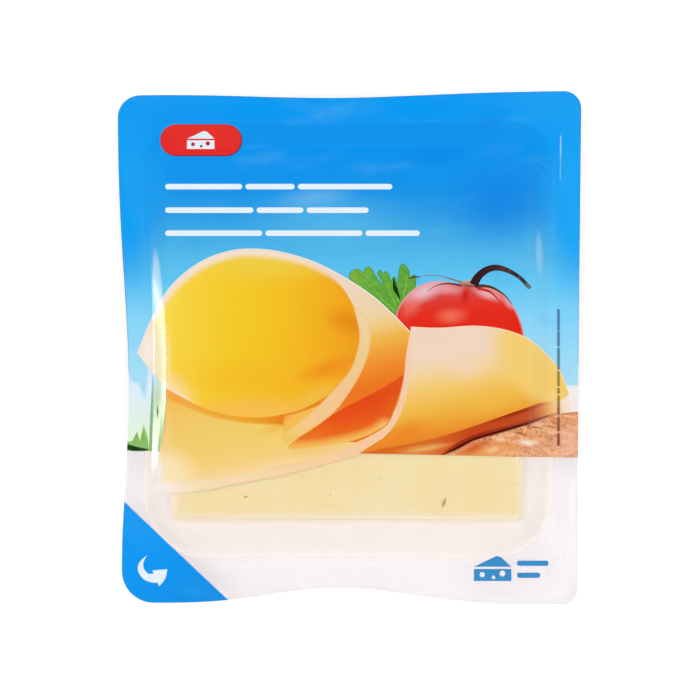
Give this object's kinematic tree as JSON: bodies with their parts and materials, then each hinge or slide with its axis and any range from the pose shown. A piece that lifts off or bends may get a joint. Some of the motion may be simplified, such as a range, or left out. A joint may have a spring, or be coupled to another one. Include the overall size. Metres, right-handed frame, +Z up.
{
  "type": "pack of sliced cheese",
  "caption": "Sealed flat pack of sliced cheese: a clear formed tray with a wide wavy flange, a square stack of slices in it, and a printed lid film with a clear window.",
  "frame": {"origin": "under the middle of the pack's outline, on the surface that the tray's floor lies on", "axes": "+Z up out of the print, +Y towards the top of the print, +X to its right"},
  "size_m": [0.186, 0.206, 0.0242],
  "materials": {
    "clear_film": "clear formed film, gloss",
    "cheese": "pale yellow semi-hard cheese, satin",
    "printed_film": "printed lid film, gloss, with a clear window"
  },
  "bodies": {
    "root": {"tray": "clear_film", "slice_01": "cheese", "slice_02": "cheese", "slice_03": "cheese", "slice_04": "cheese", "slice_05": "cheese", "slice_06": "cheese", "slice_07": "cheese", "slice_08": "cheese", "slice_09": "cheese", "slice_10": "cheese", "slice_11": "cheese", "slice_12": "cheese", "slice_13": "cheese", "slice_14": "cheese", "slice_15": "cheese", "slice_16": "cheese", "slice_17": "cheese", "slice_18": "cheese", "lid_film": "printed_film"}
  },
  "joints": []
}
